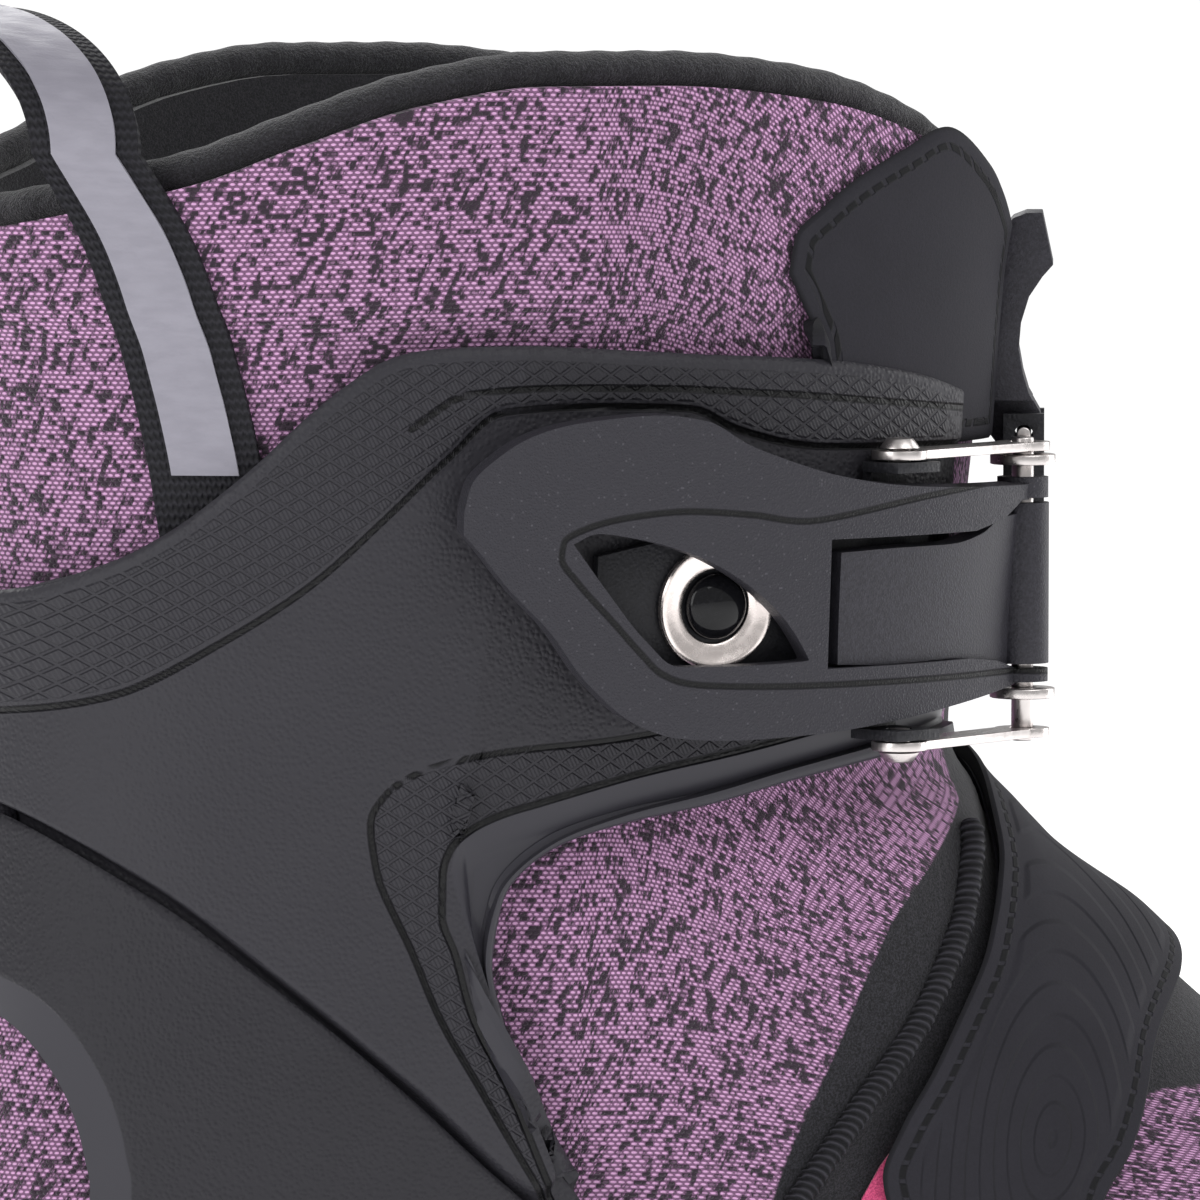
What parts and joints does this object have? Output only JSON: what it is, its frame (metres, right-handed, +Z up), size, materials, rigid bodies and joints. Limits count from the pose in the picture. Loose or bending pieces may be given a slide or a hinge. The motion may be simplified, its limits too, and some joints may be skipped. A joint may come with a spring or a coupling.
{
  "type": "cross country boot",
  "caption": "Right ski boot with a knit upper, a hinged plastic cuff closed by a side lever buckle, an instep strap, a pull loop and a bar sole.",
  "frame": {"origin": "flat of the outsole under the ankle pivot, midway between the guide grooves", "axes": "+X toward the toe, +Y toward the inner side of the foot, +Z up along the leg"},
  "size_m": [0.2941, 0.123, 0.2496],
  "materials": {
    "outsole": "dull rubber",
    "toe_bar": "satin",
    "ball_bar": "satin",
    "sole_plate": "matte",
    "lasting_board": "fibre board",
    "insole": "foam with cloth face",
    "upper_foot": "knit",
    "liner_foot": "fleece",
    "flex_gusset": "stretch knit",
    "tongue_instep": "padded fleece",
    "piping_outer": "ribbed cord",
    "piping_inner": "ribbed cord",
    "lower_shell": "pebbled",
    "pivot_rivet_outer": "dark",
    "pivot_rivet_inner": "dark",
    "toe_cap": "matte",
    "hook_patch": "coral hook tape",
    "strap_anchor": "matte",
    "cuff": "pebbled",
    "upper_collar": "knit",
    "liner_collar": "fleece",
    "collar_trim": "fleece",
    "tongue_shin": "padded fleece",
    "collar_patch_outer": "nubuck",
    "collar_patch_inner": "nubuck",
    "buckle_base": "matte",
    "ring_washer": "satin nickel",
    "base_rivet": "gloss",
    "link_top": "satin",
    "link_low": "satin",
    "link_pin_top": "satin",
    "link_pin_low": "satin",
    "hinge_pin": "satin",
    "washer_top": "satin",
    "washer_low": "satin",
    "ladder_strap": "matte",
    "ladder_rivet": "satin",
    "strap_receiver": "matte",
    "paddle_pin": "satin",
    "lever": "satin",
    "lever_tab": "satin",
    "release_paddle": "matte",
    "pull_loop": "webbing",
    "reflective_tape": "reflective",
    "instep_strap": "nubuck"
  },
  "bodies": {
    "boot": {"outsole": "outsole", "toe_bar": "toe_bar", "ball_bar": "ball_bar", "sole_plate": "sole_plate", "lasting_board": "lasting_board", "insole": "insole", "upper_foot": "upper_foot", "liner_foot": "liner_foot", "flex_gusset": "flex_gusset", "tongue_instep": "tongue_instep", "piping_outer": "piping_outer", "piping_inner": "piping_inner", "lower_shell": "lower_shell", "pivot_rivet_outer": "pivot_rivet_outer", "pivot_rivet_inner": "pivot_rivet_inner", "toe_cap": "toe_cap", "hook_patch": "hook_patch", "strap_anchor": "strap_anchor"},
    "cuff_assembly": {"cuff": "cuff", "upper_collar": "upper_collar", "liner_collar": "liner_collar", "collar_trim": "collar_trim", "tongue_shin": "tongue_shin", "collar_patch_outer": "collar_patch_outer", "collar_patch_inner": "collar_patch_inner", "buckle_base": "buckle_base", "ring_washer": "ring_washer", "base_rivet": "base_rivet", "link_top": "link_top", "link_low": "link_low", "link_pin_top": "link_pin_top", "link_pin_low": "link_pin_low", "hinge_pin": "hinge_pin", "washer_top": "washer_top", "washer_low": "washer_low", "ladder_strap": "ladder_strap", "ladder_rivet": "ladder_rivet", "strap_receiver": "strap_receiver", "paddle_pin": "paddle_pin"},
    "lever": {"lever": "lever"},
    "tab": {"lever_tab": "lever_tab"},
    "paddle": {"release_paddle": "release_paddle"},
    "loop": {"pull_loop": "pull_loop", "reflective_tape": "reflective_tape"},
    "strap": {"instep_strap": "instep_strap"}
  },
  "joints": [
    {"name": "cuff_flex", "type": "hinge", "parent": "boot", "child": "cuff_assembly", "pos_m": [0, 0, 0.074], "axis": [0, 1, 0], "range_deg": [0, 10], "stiffness_Nm_per_rad": 3, "deforming": ["flex_gusset"]},
    {"name": "lever_open", "type": "hinge", "parent": "cuff_assembly", "child": "lever", "pos_m": [0.06623, -0.04034, 0.17], "axis": [0, 0, 1], "range_deg": [0, 110]},
    {"name": "tab_lift", "type": "hinge", "parent": "lever", "child": "tab", "pos_m": [0.06623, -0.04034, 0.17], "axis": [0, 0, 1], "range_deg": [0, 12], "stiffness_Nm_per_rad": 0.2},
    {"name": "paddle_release", "type": "hinge", "parent": "cuff_assembly", "child": "paddle", "pos_m": [0.07265, -0.02655, 0.19], "axis": [0.4179, 0.9085, 0], "range_deg": [0, 20], "stiffness_Nm_per_rad": 0.2},
    {"name": "loop_swing", "type": "hinge", "parent": "cuff_assembly", "child": "loop", "pos_m": [-0.051, 0, 0.178], "axis": [0, -1, 0], "range_deg": [0, 20], "stiffness_Nm_per_rad": 0.3},
    {"name": "strap_open", "type": "hinge", "parent": "boot", "child": "strap", "pos_m": [0.04523, 0.04589, 0.09693], "axis": [-0.76, 0, 0.65], "range_deg": [0, 60]}
  ]
}
